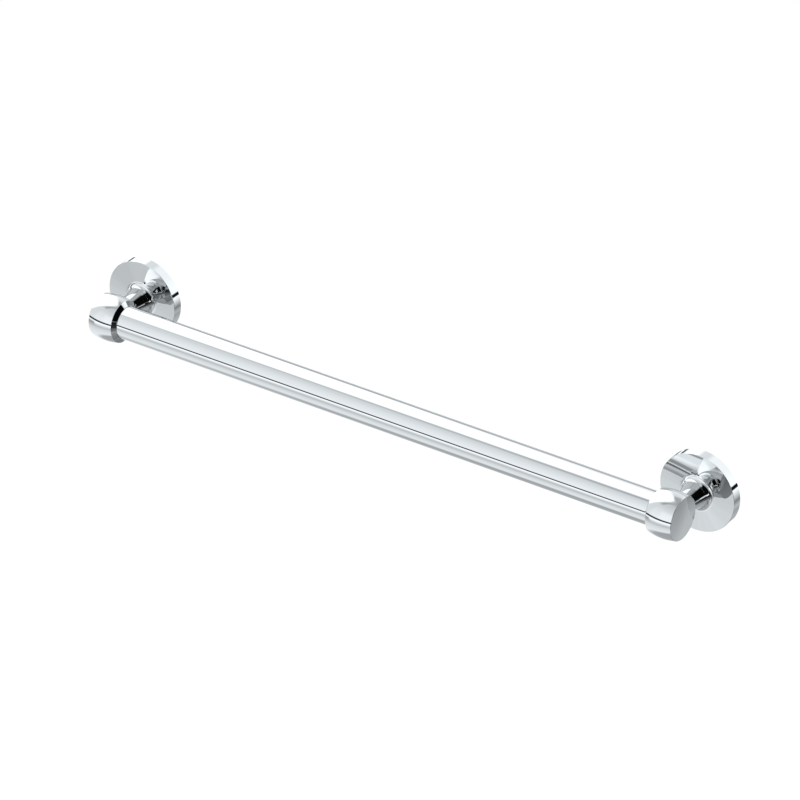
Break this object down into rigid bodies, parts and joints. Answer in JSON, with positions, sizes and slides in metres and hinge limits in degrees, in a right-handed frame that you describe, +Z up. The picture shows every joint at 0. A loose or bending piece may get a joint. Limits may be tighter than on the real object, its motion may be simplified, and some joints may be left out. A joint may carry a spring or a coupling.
{
  "type": "grab bar",
  "caption": "Straight polished grab bar for a bathroom wall, held off the wall by crowned end posts on round flange covers.",
  "frame": {"origin": "on the wall plane, midway between the two posts and level with the bar's axis", "axes": "+X along the bar, to the right as seen from the room; +Y into the wall; +Z up"},
  "size_m": [0.6858, 0.0763, 0.0762],
  "materials": {
    "chrome": "polished mirror plate",
    "steel": "zinc-plated, satin",
    "rubber": "moulded, matt"
  },
  "bodies": {
    "root": {"bar_tube": "chrome", "left_post": "chrome", "right_post": "chrome", "left_flange_cover": "chrome", "right_flange_cover": "chrome", "left_wall_plate": "steel", "right_wall_plate": "steel", "post_bolts": "steel", "bar_set_screws": "steel", "locating_pins": "steel", "left_cover_ring": "rubber", "right_cover_ring": "rubber"}
  },
  "joints": []
}
